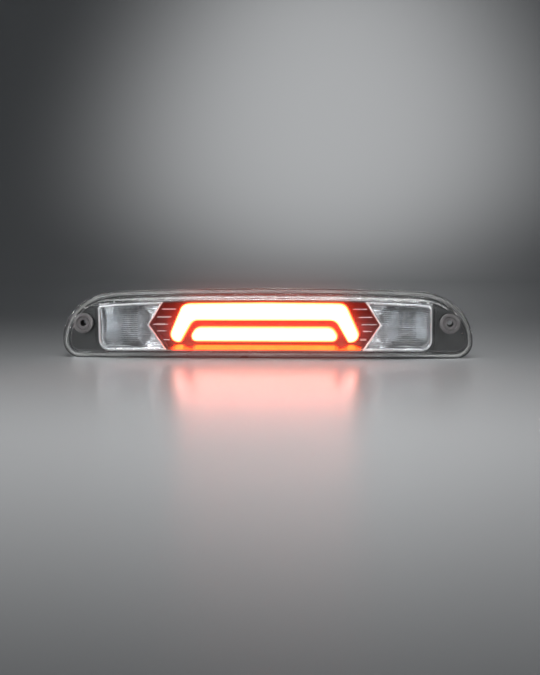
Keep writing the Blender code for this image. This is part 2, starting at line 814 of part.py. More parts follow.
def feed_wires():
    """Two short wires from the connector's pins to the back of the board."""
    starts = {"feed_wire": (CONNECTOR_X - 5.0, 24.0, "wire_red"), "ground_wire": (CONNECTOR_X + 5.0, 50.0, "wire_black")}
    for name, (pin_x, pad_x, finish) in starts.items():
        ends = [(pin_x, 8.6, 0), (pin_x, 4.0, 0), (pad_x, -2.0, 5.0), (pad_x, BOARD_BACK + GAP, 6.0)]
        wire(name, ends, 0.9, finish)


def wire(name, corners, radius, finish):
    """A round wire along a Bezier curve, capped flat at both ends."""
    a, b, c, d = (Vector(p) for p in corners)
    steps, sides = 10, 8
    rings = []
    for k in range(steps + 1):
        t = k / steps
        spot = a * (1 - t) ** 3 + b * 3 * t * (1 - t) ** 2 + c * 3 * t * t * (1 - t) + d * t**3
        along = (b - a) * (1 - t) ** 2 + (c - b) * 2 * t * (1 - t) + (d - c) * t * t
        across = along.cross(Vector((0, 0, 1))).normalized()
        up = across.cross(along).normalized()
        turns = [2 * math.pi * j / sides for j in range(sides)]
        rings.append([spot + (across * math.cos(turn) + up * math.sin(turn)) * radius for turn in turns])
    bm = bmesh.new()
    made = skin(bm, rings)
    bm.faces.new(made[0])
    bm.faces.new(made[-1])
    return smooth(from_bmesh(bm, name, finish))


def vent_plug():
    profile = [(0, 17.5), (3.2, 17.5), (3.2, CAN_BACK + GAP), (6.5, CAN_BACK + GAP), (6.5, 27.0), (5.4, 28.0), (0, 28.0)]
    turned("vent_plug", VENT_X, 0, profile, "rubber", steps=24)


# ---------------------------------------------------------------- cargo bulbs and their twist-lock sockets


def cargo_lamp(name, side):
    """A wedge bulb in a twist-lock socket. All of it turns about the socket's axis."""
    x = side * BULB_X
    bulb = wedge_bulb(name, x)
    socket = twist_socket(name, x)
    seal = turned(
        f"{name}_socket_seal",
        x,
        BULB_Z,
        [(11.2, 24.4), (12.8, 24.3), (14.4, 24.4), (14.4, 26.0), (12.8, 26.1), (11.2, 26.0)],
        "rubber",
    )
    blades = []
    for number, offset in enumerate((-3.4, 3.4), 1):
        low = (x + offset - 0.4, 25.0, BULB_Z - 2.5)
        high = (x + offset + 0.4, 40.5, BULB_Z + 2.5)
        blades.append(box(f"{name}_terminal_{number}", low, high, "brass"))
    set_pivot(x, BULB_Z, bulb, socket, seal, *blades)


def wedge_bulb(name, x):
    profile = [(0, BULB_TIP)]
    for k in range(1, 7):
        angle = math.pi / 2 * k / 6
        profile.append((BULB_R * math.sin(angle), BULB_TIP + BULB_R * (1 - math.cos(angle))))
    profile += [(BULB_R, 8.0), (6.4, 12.0), (5.6, BULB_BASE), (0, BULB_BASE)]
    bulb = turned(f"{name}_cargo_bulb", x, BULB_Z, profile, "clear", steps=24)
    base = box(f"{name}_bulb_base", (x - 5.4, BULB_BASE - 2, BULB_Z - 2.3), (x + 5.4, 23.8, BULB_Z + 2.3))
    add(bulb, base)
    return bulb


def twist_socket(name, x):
    profile = [
        (0, 14.6),
        (SOCKET_NECK_R - 0.8, 14.6),
        (SOCKET_NECK_R, 15.4),
        (SOCKET_NECK_R, 26.4),
        (15.0, 26.4),
        (15.0, 28.4),
        (14.4, 29.0),
        (0, 29.0),
    ]
    socket = turned(f"{name}_bulb_socket", x, BULB_Z, profile, "socket")
    for k in range(LUG_COUNT):
        lug = box(
            f"{name}_lug_{k}",
            (x + 8, 18.3, BULB_Z - 2.8),
            (x + LUG_R, 21.1, BULB_Z + 2.8),
            turn=360 / LUG_COUNT * k,
            about=(x, BULB_Z),
        )
        add(socket, lug)
    add(socket, box(f"{name}_grip", (x - 9.5, 28.5, BULB_Z - 5.5), (x + 9.5, 43, BULB_Z + 5.5)))
    cut(socket, box(f"{name}_base_slot", (x - 5.8, 10, BULB_Z - 2.7), (x + 5.8, 24.3, BULB_Z + 2.7)))
    cut(socket, box(f"{name}_plug_cavity", (x - 7.7, 32, BULB_Z - 3.7), (x + 7.7, 50, BULB_Z + 3.7)))
    for number, offset in enumerate((-3.4, 3.4), 1):
        low = (x + offset - 0.8, 23, BULB_Z - 2.9)
        cut(socket, box(f"{name}_blade_slot_{number}", low, (x + offset + 0.8, 34, BULB_Z + 2.9)))
    return socket


def build():
    outer_lens()
    lens_sealant()
    rear_housing()
    mounting_gasket()
    inner_bezel()
    light_bar_tray()
    light_guide("outer_light_guide", outer_guide_corners())
    light_guide("inner_light_guide", inner_guide_corners())
    led_board()
    leds()
    board_fittings()
    feed_connector()
    feed_wires()
    vent_plug()
    for name, side in SIDES.items():
        screw_point(name, side)
        fin_comb(name, side)
        window(name, side)
        reflector(name, side)
        cargo_lamp(name, side)


build()
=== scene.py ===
"""Looks for the third brake light: a clear lens over lit light bars, chrome cargo lamps, a black housing.

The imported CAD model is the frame. Lengths here are in millimetres, in the same frame as the CAD: +X is the
lamp's right-hand side seen from the front, the lens faces -Y, and +Z is up.
"""

import math

import bmesh
import bpy
from mathutils import Matrix, Vector


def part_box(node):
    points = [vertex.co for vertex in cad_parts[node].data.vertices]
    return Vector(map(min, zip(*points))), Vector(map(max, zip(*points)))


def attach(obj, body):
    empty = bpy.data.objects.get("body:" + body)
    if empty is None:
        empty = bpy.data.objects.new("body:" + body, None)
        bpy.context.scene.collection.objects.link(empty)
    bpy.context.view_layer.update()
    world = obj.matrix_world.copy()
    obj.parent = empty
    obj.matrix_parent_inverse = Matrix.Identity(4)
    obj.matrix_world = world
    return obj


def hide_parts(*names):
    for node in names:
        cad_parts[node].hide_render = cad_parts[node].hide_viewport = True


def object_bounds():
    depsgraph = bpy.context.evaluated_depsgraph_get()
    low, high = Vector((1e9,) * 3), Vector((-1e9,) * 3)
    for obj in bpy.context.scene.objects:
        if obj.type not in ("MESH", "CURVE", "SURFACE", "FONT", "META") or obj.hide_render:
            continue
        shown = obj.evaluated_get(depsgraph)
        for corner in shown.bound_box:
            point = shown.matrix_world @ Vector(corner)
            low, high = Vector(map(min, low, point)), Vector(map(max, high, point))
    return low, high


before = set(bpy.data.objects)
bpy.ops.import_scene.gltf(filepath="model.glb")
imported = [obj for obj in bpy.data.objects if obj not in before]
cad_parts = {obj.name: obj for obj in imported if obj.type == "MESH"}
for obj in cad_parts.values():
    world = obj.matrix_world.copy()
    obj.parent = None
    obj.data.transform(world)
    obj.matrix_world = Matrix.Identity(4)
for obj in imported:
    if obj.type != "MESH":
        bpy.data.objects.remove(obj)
cad_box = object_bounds()

MM = 0.001
SIDES = {"left": -1, "right": 1}


def node_mm(node):
    """A CAD node's lowest and highest corners, in millimetres."""
    low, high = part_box(node)
    return [round(v / MM, 3) for v in low], [round(v / MM, 3) for v in high]


# Sizes taken from the frame
LENS_LOW, LENS_HIGH = node_mm("outer_lens")
GROMMET_LOW, GROMMET_HIGH = node_mm("right_screw_grommet")
FRAME_LOW, FRAME_HIGH = node_mm("right_window_frame")
PANE_LOW, PANE_HIGH = node_mm("right_cargo_lens")
BOWL_LOW, BOWL_HIGH = node_mm("right_cargo_reflector")
BULB_LOW, BULB_HIGH = node_mm("right_cargo_bulb")
GUIDE_LOW, GUIDE_HIGH = node_mm("outer_light_guide")
SLEEVE_FRONT = node_mm("right_screw_sleeve")[0][1]
SHELF_FRONT = node_mm("light_bar_tray")[0][1]

HALF_WIDTH = LENS_HIGH[0]
TOP_Z = LENS_HIGH[2]
BOTTOM_Z = LENS_LOW[2]
SCREW_X = (GROMMET_LOW[0] + GROMMET_HIGH[0]) / 2
BULB_X = (BULB_LOW[0] + BULB_HIGH[0]) / 2
BULB_Z = (BULB_LOW[2] + BULB_HIGH[2]) / 2

# The lamp's outline: a bowed top between two shoulders, and a rounded corner below each. A ring has a
# middle span out to SPAN_X and two ends, and the steps are how many points lie along each stretch.
SHOULDER_X = 150.0
SHOULDER_Z = -18.2
SHOULDER_TOP_Z = TOP_Z - 2.9
CORNER_R = 17.0
SPAN_X = 160.5
SPAN_STEPS = 120
END_STEPS = (22, 6, 14, 5, 14, 12)

# Lens depths
FACE = -32.0
CROWN = 1.5
WALL = 2.2
PAD = -14.0
FOOT = -9.3

# Wells round the screw points
WELL_X = 169.5
WELL_TOP_Z = 17.5
WELL_TOP_FALL = 0.19
DOME_CORNER_R = 12.0
DOME_CORNER_Z = -16.2

# Chevron between the centre panel and each window
CHEVRON_TOP = (100.3, 22.6)
CHEVRON_TIP = (114.6, -0.3)
CHEVRON_BOTTOM = (97.2, -26.2)

# Panel behind the light guides
PANEL_FRONT = -18.0
PANEL_BACK = -16.0

# Skirt inside the lens
SKIRT_X = 166.8
SKIRT_WALL = 1.0
SKIRT_BOW = 8.186e-5
SKIRT_END_FALL = 4.163e-9
SKIRT_FOOT_Z = -25.5


# ---------------------------------------------------------------- outlines


def arc(centre, radius, start, end, steps):
    """Points from one angle to another, in degrees, leaving out the last."""
    points = []
    for k in range(steps):
        angle = math.radians(start + (end - start) * k / steps)
        points.append((centre[0] + radius * math.cos(angle), centre[1] + radius * math.sin(angle)))
    return points


def rounded(corners, steps=6):
    """The outline through (x, z, radius) corners, each rounded by an arc of its radius."""
    points = []
    count = len(corners)
    for k, (x, z, radius) in enumerate(corners):
        here = Vector((x, z))
        before = Vector(corners[k - 1][:2]) - here
        after = Vector(corners[(k + 1) % count][:2]) - here
        half = before.angle(after) / 2
        if radius <= 0 or half > math.radians(89):
            points.append((x, z))
            continue
        reach = radius / math.tan(half)
        centre = here + (before.normalized() + after.normalized()).normalized() * (radius / math.sin(half))
        a = here + before.normalized() * reach - centre
        b = here + after.normalized() * reach - centre
        sweep = a.angle_signed(b)
        for j in range(steps + 1):
            points.append(tuple(centre + Matrix.Rotation(-sweep * j / steps, 2) @ a))
    return points


def moved_in(corners, distance):
    """Corners of an outline whose sides are all moved inwards by a distance. The corners run clockwise."""
    sides = []
    count = len(corners)
    for k in range(count):
        a = Vector(corners[k][:2])
        b = Vector(corners[(k + 1) % count][:2])
        along = (b - a).normalized()
        sides.append((a + Vector((along.y, -along.x)) * distance, along))
    moved = []
    for k in range(count):
        p, u = sides[k - 1]
        q, v = sides[k]
        cross = u.x * v.y - u.y * v.x
        t = ((q - p).x * v.y - (q - p).y * v.x) / cross
        spot = p + u * t
        radius = corners[k][2]
        if radius > 0:
            radius = max(radius + (distance if cross > 0 else -distance), 0.3)
        moved.append((spot.x, spot.y, radius))
    return moved


def resampled(points, count, closed=False):
    """The same line with evenly spaced points: count of them, leaving out the last."""
    line = [Vector(p) for p in points] + ([Vector(points[0])] if closed else [])
    lengths = [0.0]
    for a, b in zip(line, line[1:]):
        lengths.append(lengths[-1] + (b - a).length)
    made = []
    at = 0
    for k in range(count):
        want = lengths[-1] * k / count
        while lengths[at + 1] < want:
            at += 1
        share = (want - lengths[at]) / max(lengths[at + 1] - lengths[at], 1e-9)
        made.append(tuple(line[at].lerp(line[at + 1], share)))
    return made


def top_z(x, inset):
    """The upper edge's height between the shoulders."""
    return TOP_Z - (TOP_Z - SHOULDER_TOP_Z) * (x / SHOULDER_X) ** 2 - inset


def shoulder_point(angle, inset):
    """A point on the right-hand shoulder, from 0 at its outer side to a quarter turn at its top."""
    wide = HALF_WIDTH - SHOULDER_X - inset
    high = SHOULDER_TOP_Z - SHOULDER_Z - inset
    return SHOULDER_X + wide * math.cos(angle), SHOULDER_Z + high * math.sin(angle)


def shoulder_angle(inset, passed):
    """The angle on the shoulder where a condition on its point turns true, coming down from the top."""
    low, high = 0.0, math.pi / 2
    for _ in range(40):
        middle = (low + high) / 2
        if passed(*shoulder_point(middle, inset)):
            low = middle
        else:
            high = middle
    return low


def full_end(inset):
    """The right-hand end of the outline: from over SPAN_X, round the shoulder and corner, to under it."""
    start = shoulder_angle(inset, lambda x, z: x > SPAN_X)
    line = [shoulder_point(start * (1 - k / 60), inset) for k in range(60)]
    radius = CORNER_R - inset
    line += arc((HALF_WIDTH - CORNER_R, BOTTOM_Z + CORNER_R), radius, 0, -90, 24)
    line += [(HALF_WIDTH - CORNER_R, BOTTOM_Z + inset), (SPAN_X, BOTTOM_Z + inset)]
    return resampled(line, sum(END_STEPS))


def well_end(inset, grow):
    """The same end, but going in round the well; grow moves the well's edge away from the screw."""

    def roof(x):
        return WELL_TOP_Z + grow - WELL_TOP_FALL * (x - WELL_X)

    start = shoulder_angle(inset, lambda x, z: x > SPAN_X)
    tip = shoulder_angle(inset, lambda x, z: z < roof(x))
    over = [shoulder_point(start + (tip - start) * k / 24, inset) for k in range(25)]
    x_wall = WELL_X - grow
    inner = (x_wall, roof(x_wall))
    blend = 0.9
    near_tip = Vector(over[-1])
    back = near_tip + (Vector(over[-2]) - near_tip).normalized() * blend
    on_roof = near_tip + (Vector(inner) - near_tip).normalized() * blend
    turn = [back.lerp(near_tip, t).lerp(near_tip.lerp(on_roof, t), t) for t in (0, 0.25, 0.5, 0.75, 1)]
    corner = Vector(inner)
    before = corner + (on_roof - corner).normalized() * 2.0
    after = corner + Vector((0, -2.0))
    bend = [before.lerp(corner, t).lerp(corner.lerp(after, t), t) for t in (0, 0.25, 0.5, 0.75, 1)]
    foot = arc((WELL_X - DOME_CORNER_R, DOME_CORNER_Z), DOME_CORNER_R - grow, 0, -90, 12)
    under = [(WELL_X - DOME_CORNER_R, DOME_CORNER_Z - DOME_CORNER_R + grow), (SPAN_X, BOTTOM_Z + inset)]
    lines = [over[:-1] + [tuple(back)], turn, [on_roof, before], bend, [tuple(after), foot[0]], foot + under]
    made = []
    for line, count in zip(lines, END_STEPS):
        made += resampled([tuple(p) for p in line], count)
    return made


def lens_ring(inset, end):
    """A whole ring from over the left-hand SPAN_X: along the top, round the end, and back underneath."""
    xs = [SPAN_X * (2 * k / SPAN_STEPS - 1) for k in range(SPAN_STEPS)]
    top = []
    for x in xs:
        if abs(x) <= SHOULDER_X:
            top.append((x, top_z(x, inset)))
            continue
        angle = shoulder_angle(inset, lambda px, pz, want=abs(x): px > want)
        over_x, over_z = shoulder_point(angle, inset)
        top.append((math.copysign(over_x, x), over_z))
    bottom = [(-x, BOTTOM_Z + inset) for x in xs]
    left = [(-x, z) for x, z in reversed(end[1:])]
    first_of_left = (-SPAN_X, BOTTOM_Z + inset)
    return top + end + bottom + [first_of_left] + left


# ---------------------------------------------------------------- meshes


def finish_mesh(bm, name, body, replaced=(), degrees=30):
    """Turns a bmesh in millimetres into a smooth piece that rides on a body."""
    bmesh.ops.recalc_face_normals(bm, faces=bm.faces)
    mesh = bpy.data.meshes.new(name)
    bm.to_mesh(mesh)
    bm.free()
    mesh.transform(Matrix.Scale(MM, 4))
    mesh.shade_smooth()
    mesh.set_sharp_from_angle(angle=math.radians(degrees))
    piece = bpy.data.objects.new(name, mesh)
    bpy.context.scene.collection.objects.link(piece)
    if body:
        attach(piece, body)
    if replaced:
        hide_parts(*replaced)
    return piece


def skin(bm, rings, closed=False):
    """Quads from each ring of points to the next, and from the last to the first when closed."""
    made = [[bm.verts.new(point) for point in ring] for ring in rings]
    count = len(made[0])
    for a, b in list(zip(made, made[1:])) + ([(made[-1], made[0])] if closed else []):
        for k in range(count):
            n = (k + 1) % count
            bm.faces.new((a[k], a[n], b[n], b[k]))
    return made


def capped(bm, rings):
    """The rings skinned in order, with a face over each end."""
    made = skin(bm, rings)
    bm.faces.new(made[0])
    bm.faces.new(made[-1])
    return made


def spun(bm, x, z, profile, steps=64, closed=True):
    """A (radius, y) profile turned about the Y axis through x and z; an open one is capped at both ends."""
    rings = []
    for radius, y in profile:
        turns = [2 * math.pi * k / steps for k in range(steps)]
        rings.append([(x + radius * math.cos(t), y, z + radius * math.sin(t)) for t in turns])
    return skin(bm, rings, closed) if closed else capped(bm, rings)


def layered(bm, layers, closed=True):
    """(outline, y) layers skinned in order; not closed means capped flat at both ends."""
    rings = [[(x, y, z) for x, z in outline] for outline, y in layers]
    return skin(bm, rings, closed) if closed else capped(bm, rings)


def mirrored(points, side):
    """The same (x, z) points on one side of the lamp or the other."""
    return [(side * x, z) for x, z in points]


def boolean(piece, cutter, operation):
    """Applies one Boolean and removes the cutter."""
    modifier = piece.modifiers.new("cut", "BOOLEAN")
    modifier.operation = operation
    modifier.solver = "EXACT"
    modifier.object = cutter
    bpy.context.view_layer.update()
    graph = bpy.context.evaluated_depsgraph_get()
    mesh = bpy.data.meshes.new_from_object(piece.evaluated_get(graph))
    piece.modifiers.clear()
    piece.data = mesh
    bpy.data.objects.remove(cutter)
    mesh.shade_smooth()
    mesh.set_sharp_from_angle(angle=math.radians(30))
    return piece


# ---------------------------------------------------------------- materials


def shader_material(name, **values):
    """A Principled material with plain values; returns the material, its tree and its shader."""
    material = bpy.data.materials.new(name)
    material.use_nodes = True
    tree = material.node_tree
    shader = tree.nodes["Principled BSDF"]
    for key, value in values.items():
        shader.inputs[key.replace("_", " ")].default_value = value
    return material, tree, shader


def noise(tree, scale, detail=4.0, stretch=(1.0, 1.0, 1.0)):
    """Noise over the piece's own coordinates, in repeats per metre."""
    coordinates = tree.nodes.new("ShaderNodeTexCoord")
    mapping = tree.nodes.new("ShaderNodeMapping")
    mapping.inputs["Scale"].default_value = stretch
    texture = tree.nodes.new("ShaderNodeTexNoise")
    texture.inputs["Scale"].default_value = scale
    texture.inputs["Detail"].default_value = detail
    tree.links.new(coordinates.outputs["Object"], mapping.inputs["Vector"])
    tree.links.new(mapping.outputs["Vector"], texture.inputs["Vector"])
    return texture.outputs["Fac"]


def ramp(tree, source, low, high):
    """A value that runs between two numbers with the source."""
    node = tree.nodes.new("ShaderNodeMapRange")
    node.inputs["From Min"].default_value = 0.3
    node.inputs["From Max"].default_value = 0.7
    node.inputs["To Min"].default_value = low
    node.inputs["To Max"].default_value = high
    tree.links.new(source, node.inputs["Value"])
    return node.outputs["Result"]


def colour_ramp(tree, source, low, high):
    """A colour that runs between two with the source."""
    node = tree.nodes.new("ShaderNodeValToRGB")
    node.color_ramp.elements[0].position = 0.3
    node.color_ramp.elements[1].position = 0.7
    node.color_ramp.elements[0].color = (*low, 1)
    node.color_ramp.elements[1].color = (*high, 1)
    tree.links.new(source, node.inputs["Fac"])
    return node.outputs["Color"]


def bump(tree, shader, source, height, strength=1.0):
    """Adds relief of a height in metres."""
    node = tree.nodes.new("ShaderNodeBump")
    node.inputs["Strength"].default_value = strength
    node.inputs["Distance"].default_value = height
    tree.links.new(source, node.inputs["Height"])
    tree.links.new(node.outputs["Normal"], shader.inputs["Normal"])


def moulded(name, dark, light, roughness, grain=900.0, relief=0.00004, **values):
    """Moulded plastic or rubber: slight mottling, uneven gloss and a fine grain."""
    material, tree, shader = shader_material(name, **values)
    cloud = noise(tree, 60.0)
    tree.links.new(colour_ramp(tree, cloud, dark, light), shader.inputs["Base Color"])
    tree.links.new(ramp(tree, cloud, roughness * 0.85, roughness * 1.2), shader.inputs["Roughness"])
    bump(tree, shader, noise(tree, grain, 2.0), relief, 0.5)
    return material


def plated(name, dark, light, roughness):
    """Bright metal with faint smears in its gloss."""
    material, tree, shader = shader_material(name, Metallic=1.0)
    cloud = noise(tree, 45.0)
    tree.links.new(colour_ramp(tree, cloud, dark, light), shader.inputs["Base Color"])
    tree.links.new(ramp(tree, cloud, roughness * 0.7, roughness * 1.3), shader.inputs["Roughness"])
    return material


def clear(name, colour, roughness, ior=1.5):
    """Clear plastic or glass with a trace of haze."""
    material, tree, shader = shader_material(name, Transmission_Weight=1.0, IOR=ior)
    shader.inputs["Base Color"].default_value = (*colour, 1)
    cloud = noise(tree, 30.0)
    tree.links.new(ramp(tree, cloud, roughness * 0.5, roughness * 1.5), shader.inputs["Roughness"])
    return material


def lit(name, base, glow, strength, roughness=0.3):
    """A light guide's surface, which gives out its own light."""
    material, tree, shader = shader_material(name, Roughness=roughness)
    shader.inputs["Base Color"].default_value = (*base, 1)
    shader.inputs["Emission Color"].default_value = (*glow, 1)
    shader.inputs["Emission Strength"].default_value = strength
    bump(tree, shader, noise(tree, 700.0, 2.0), 0.00003, 0.3)
    return material


MATERIALS = {
    "lens": clear("clear_polycarbonate", (0.97, 0.98, 0.985), 0.012, 1.5),
    "pane": clear("fluted_polycarbonate", (0.95, 0.97, 0.98), 0.07, 1.5),
    "bulb_glass": clear("bulb_glass", (0.97, 0.98, 0.99), 0.01, 1.45),
    "housing": moulded("black_housing", (0.008, 0.009, 0.009), (0.02, 0.021, 0.021), 0.32),
    "tray": moulded("glossy_red_panel", (0.09, 0.003, 0.001), (0.14, 0.005, 0.002), 0.16, relief=0.00001),
    # The shelf's amber tint is a painted reflection of the lit bars' glow, on top of its real mirror
    # reflection of the guides' lit undersides.
    "shelf": plated("mirror_with_painted_glow_tint", (0.9, 0.5, 0.28), (1.0, 0.6, 0.35), 0.12),
    "fin": plated("bright_blade", (0.85, 0.8, 0.8), (0.95, 0.9, 0.9), 0.25),
    "frame": plated("satin_chrome", (0.9, 0.9, 0.91), (0.96, 0.96, 0.97), 0.24),
    "bezel": plated("metallised_skirt", (0.82, 0.82, 0.84), (0.92, 0.92, 0.94), 0.12),
    "bowl": plated("metallised_bowl", (0.8, 0.81, 0.82), (0.9, 0.9, 0.91), 0.12),
    "core": lit("light_guide_face", (0.9, 0.5, 0.45), (1.0, 0.34, 0.3), 3.2),
    "yolk": lit("light_guide_rim", (0.9, 0.4, 0.2), (1.0, 0.27, 0.06), 2.6),
    "fringe": lit("light_guide_edge", (0.9, 0.1, 0.05), (1.0, 0.12, 0.008), 2.4),
    "flank": lit("light_guide_side", (0.7, 0.03, 0.01), (1.0, 0.06, 0.003), 5.0),
    "underside": lit("light_guide_underside", (0.9, 0.3, 0.1), (1.0, 0.24, 0.03), 2.0),
    "board": moulded("solder_mask", (0.01, 0.09, 0.03), (0.02, 0.13, 0.05), 0.4, grain=400.0),
    "led": moulded("lamp_package", (0.75, 0.7, 0.5), (0.85, 0.8, 0.6), 0.4),
    "chip": moulded("moulded_chip", (0.015, 0.015, 0.015), (0.03, 0.03, 0.03), 0.5),
    "can": plated("aluminium_can", (0.6, 0.6, 0.62), (0.72, 0.72, 0.74), 0.3),
    "sealant": moulded("sealant_bead", (0.2, 0.2, 0.197), (0.28, 0.28, 0.277), 0.35),
    "gasket": moulded("closed_cell_foam", (0.012, 0.012, 0.012), (0.03, 0.03, 0.03), 0.85, 1400.0, 0.0002),
    "grommet": moulded("grey_rubber", (0.05, 0.047, 0.048), (0.075, 0.07, 0.073), 0.5, relief=0.00005),
    "sleeve": moulded("coated_sleeve", (0.06, 0.057, 0.058), (0.085, 0.08, 0.083), 0.4),
    "socket": moulded("grey_nylon", (0.1, 0.1, 0.105), (0.15, 0.15, 0.155), 0.45),
    "steel": plated("zinc_plate", (0.4, 0.4, 0.42), (0.55, 0.55, 0.57), 0.35),
    "brass": plated("tinned_brass", (0.6, 0.47, 0.24), (0.72, 0.57, 0.32), 0.28),
    "red_wire": moulded("red_insulation", (0.35, 0.01, 0.01), (0.5, 0.02, 0.02), 0.45),
    "black_wire": moulded("black_insulation", (0.012, 0.012, 0.012), (0.02, 0.02, 0.02), 0.45),
}


def paint(piece, *names):
    """Gives a piece its materials, the first one everywhere unless its faces say otherwise."""
    if piece.data.materials:
        piece.data.materials.clear()
    for name in names:
        piece.data.materials.append(MATERIALS[name])
    return piece


CAD_FINISHES = {
    "brake_led_board": "board",
    "driver_chip": "chip",
    "input_capacitor": "can",
    "feed_connector": "socket",
    "connector_pin_1": "brass",
    "connector_pin_2": "brass",
    "feed_wire": "red_wire",
    "ground_wire": "black_wire",
    "lens_sealant": "sealant",
    "vent_plug": "gasket",
    "rear_housing": "housing",
    "mounting_gasket": "gasket",
}


def paint_carried_nodes():
    """Materials for the CAD nodes whose shape is kept."""
    for name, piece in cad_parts.items():
        finish = CAD_FINISHES.get(name)
        if name.startswith("brake_led_0") or name.startswith("brake_led_1"):
            finish = "led"
        elif name.startswith("board_screw"):
            finish = "steel"
        elif "_terminal_" in name:
            finish = "brass"
        elif name.endswith("_socket_seal"):
            finish = "gasket"
        elif name.endswith("_bulb_socket"):
            finish = "socket"
        if finish:
            paint(piece, finish)


# ---------------------------------------------------------------- outer lens


def bowed(x, y):
    """The face's bow: nothing beyond SPAN_X, all of CROWN in the middle."""
    share = max(0.0, (y - PAD) / (FACE - PAD))
    return y - CROWN * share * max(0.0, 1 - (x / SPAN_X) ** 2)


def outer_lens():
    """One skin from the face's edge out over the slope and rim, round the tongue and up the inside.

    The dome, slope and hollow are (inset, growth at the wells, y); the rest are (inset, y).
    """
    dome = [(10.2, 2.2, FACE), (9.2, 1.2, -31.9), (8.5, 0.6, -31.55), (7.95, 0.25, -31.0)]
    dome += [(7.6, 0.06, -30.3), (7.45, 0.0, -29.6)]
    slope = [(7.2, 0.0, -26.5), (6.95, 0.0, -22.5), (6.7, 0.0, -18.4), (6.5, 0.0, -15.2)]
    slope += [(6.45, -0.2, -14.4), (6.4, -0.6, PAD)]
    rim = [(6.3, -13.95), (6.0, -13.6), (5.6, -13.3), (5.2, -13.2), (3.6, -13.2), (3.2, -13.1)]
    rim += [(2.9, -12.7), (2.7, -12.1), (2.4, -11.85), (2.0, -11.8), (1.0, -11.75), (0.5, -11.6)]
    rim += [(0.15, -11.3), (0.0, -10.9), (0.0, -9.8), (0.1, -9.45), (0.3, FOOT)]
    tongue = [(2.2, FOOT), (2.2, -6.6), (2.4, -6.4), (4.2, -6.4), (4.4, -6.6), (4.4, FOOT)]
    inside = [(7.9, FOOT), (8.1, -9.5), (8.15, -11.7)]
    hollow = [(8.2, 2.2, -11.8), (8.3, 2.2, -13.4), (8.8, 2.2, -20.7), (9.4, 2.2, -28.0), (9.8, 2.5, -29.3)]
    hollow += [(11.2, 3.6, FACE + WALL)]
    rings = []
    for part in (dome, slope):
        rings += [(inset, well_end(inset, grow), y) for inset, grow, y in part]
    for part in (rim, tongue, inside):
        rings += [(inset, full_end(inset), y) for inset, y in part]
    rings += [(inset, well_end(inset, grow), y) for inset, grow, y in hollow]
    bm = bmesh.new()
    made = skin(bm, [[(x, bowed(x, y), z) for x, z in lens_ring(inset, end)] for inset, end, y in rings])
    end_count = sum(END_STEPS)
    for ring in (made[0], made[-1]):
        bottom_start = SPAN_STEPS + end_count
        for k in range(SPAN_STEPS):
            top = (ring[k], ring[k + 1])
            low = (ring[bottom_start + SPAN_STEPS - 1 - k], ring[bottom_start + SPAN_STEPS - k])
            bm.faces.new((top[0], top[1], low[0], low[1]))
        bm.faces.new(ring[SPAN_STEPS : bottom_start + 1])
        bm.faces.new(ring[bottom_start + SPAN_STEPS :] + [ring[0]])
    lens = finish_mesh(bm, "outer_lens_moulding", "housing", ["outer_lens"])
    for side in SIDES.values():
        turret = bmesh.new()
        collar = [(6.5, -15.0), (6.5, -16.0), (6.8, -16.3), (8.9, -16.3), (9.3, -16.1), (9.4, -15.7)]
        spun(turret, side * SCREW_X, 0, collar + [(9.4, -14.5), (9.7, -13.2), (6.5, -13.2)], 96)
        boolean(lens, finish_mesh(turret, "turret", None), "UNION")
        hole = bmesh.new()
        spun(hole, side * SCREW_X, 0, [(6.5, -20.0), (6.5, -8.0)], 96, closed=False)
        boolean(lens, finish_mesh(hole, "turret_hole", None), "DIFFERENCE")
    paint(lens, "lens").visible_shadow = False


# ---------------------------------------------------------------- windows and reflectors


def window_corners():
    """The right-hand cargo window: its chevron side is on the left."""
    end_x = FRAME_HIGH[0]
    return [
        (CHEVRON_TOP[0] + 0.5, CHEVRON_TOP[1], 0.6),
        (SHOULDER_X, 20.4, 30.0),
        (end_x, 18.6, 5.0),
        (end_x, CHEVRON_BOTTOM[1], 11.5),
        (CHEVRON_BOTTOM[0] + 0.5, CHEVRON_BOTTOM[1], 0.6),
        (CHEVRON_TIP[0] + 0.5, CHEVRON_TIP[1], 0.0),
    ]


def window_frames():
    """A bright rounded moulding round each window."""
    front, back = FRAME_LOW[1], FRAME_HIGH[1]
    profile = [(0.0, back), (0.0, front + 0.55), (0.1, front + 0.2), (0.35, front), (1.6, front)]
    profile += [(1.85, front + 0.2), (2.0, front + 0.6), (2.0, back)]
    for name, side in SIDES.items():
        bm = bmesh.new()
        rings = []
        for inset, y in profile:
            rings.append((mirrored(rounded(moved_in(window_corners(), inset), 10), side), y))
        layered(bm, rings)
        replaced = [f"{name}_window_frame"]
        moulding = finish_mesh(bm, f"{name}_window_moulding", "housing", replaced, 40)
        paint(moulding, "frame")


def cargo_lenses():
    """Clear panes with fine level flutes on the front."""
    pitch = 1.9
    front, back = PANE_LOW[1], PANE_HIGH[1]
    per_flute = 6
    low_z, high_z = PANE_LOW[2] - 1, PANE_HIGH[2] + 1
    flutes = math.ceil((high_z - low_z) / pitch)
    section = []
    for k in range(flutes * per_flute + 1):
        z = low_z + pitch * k / per_flute
        share = (k % per_flute) / per_flute
        section.append((front + 0.05 + 0.5 * (2 * share - 1) ** 2, z))
    section += [(back, section[-1][1]), (back, low_z)]
    for name, side in SIDES.items():
        bm = bmesh.new()
        outline = mirrored(rounded(moved_in(window_corners(), 2.3), 8), side)
        layered(bm, [(outline, front - 1), (outline, back)], closed=False)
        pane = finish_mesh(bm, f"{name}_fluted_pane", "housing", [f"{name}_cargo_lens"])
        slab = bmesh.new()
        ends = [side * (CHEVRON_TOP[0] - 5), side * (FRAME_HIGH[0] + 5)]
        capped(slab, [[(x, y, z) for y, z in section] for x in ends])
        boolean(pane, finish_mesh(slab, "flutes", None), "INTERSECT")
        paint(pane, "pane").visible_shadow = False


